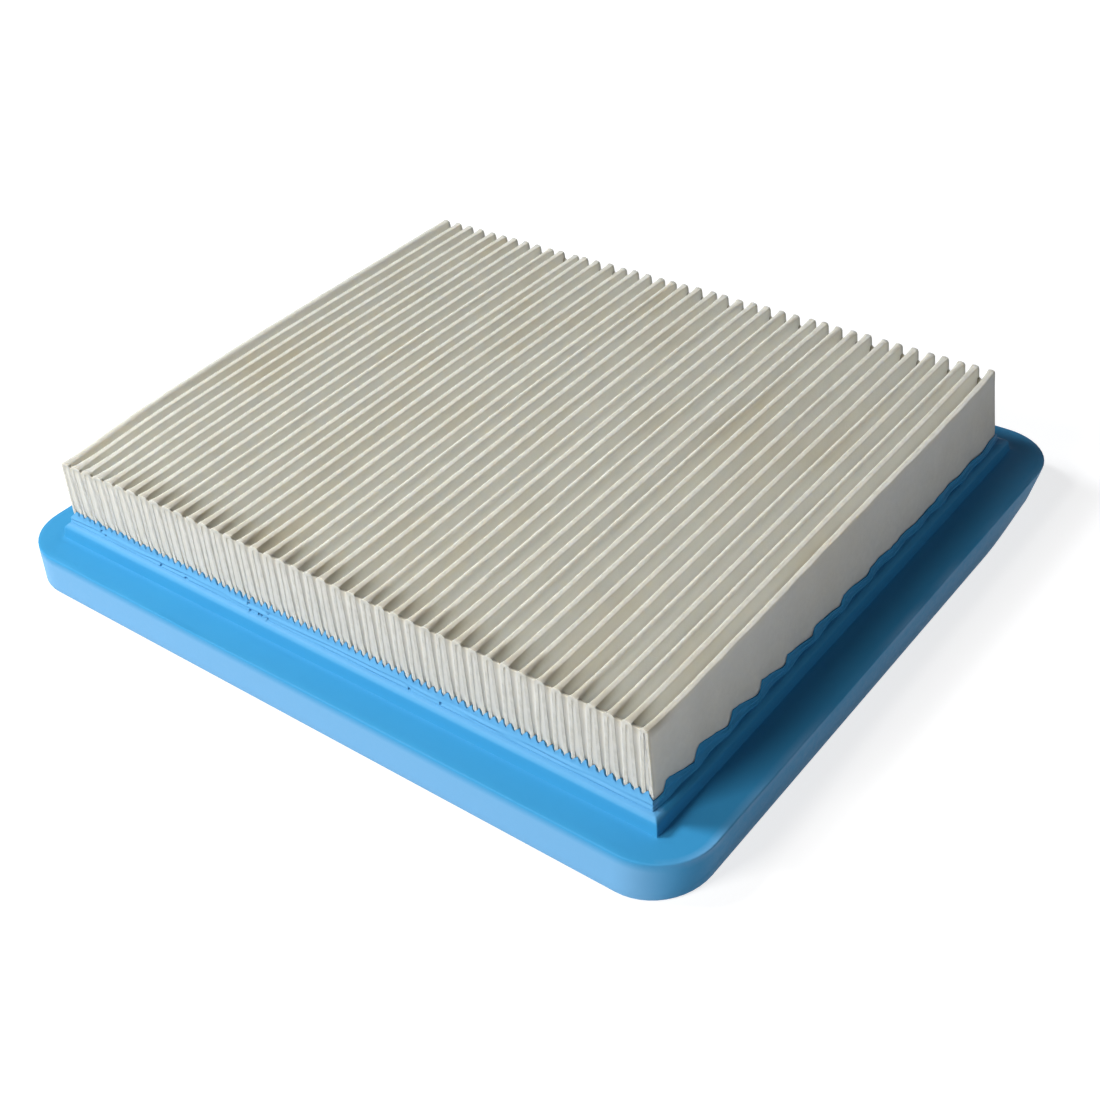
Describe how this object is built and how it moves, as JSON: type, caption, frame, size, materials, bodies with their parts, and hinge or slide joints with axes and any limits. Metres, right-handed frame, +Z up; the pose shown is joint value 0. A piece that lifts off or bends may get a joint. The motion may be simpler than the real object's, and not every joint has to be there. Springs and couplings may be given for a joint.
{
  "type": "panel air filter element",
  "caption": "Flat air filter element: an upright pleated paper pack moulded into a soft rectangular sealing frame with round corners.",
  "frame": {"origin": "on the underside of the frame, below the middle of the element", "axes": "+X across the pleats along the long side, +Y along the pleats, +Z up from the sealing face towards the pleat ridges"},
  "size_m": [0.133, 0.113, 0.0218],
  "materials": {
    "polyurethane": "moulded integral-skin polyurethane foam, satin",
    "filter_paper": "resin-treated cellulose filter paper, matt and slightly fibrous",
    "adhesive": "hot-melt adhesive, off-white, soft sheen"
  },
  "bodies": {
    "root": {"frame": "polyurethane", "pleated_paper": "filter_paper", "edge_bead_front": "adhesive", "edge_bead_rear": "adhesive"}
  },
  "joints": []
}
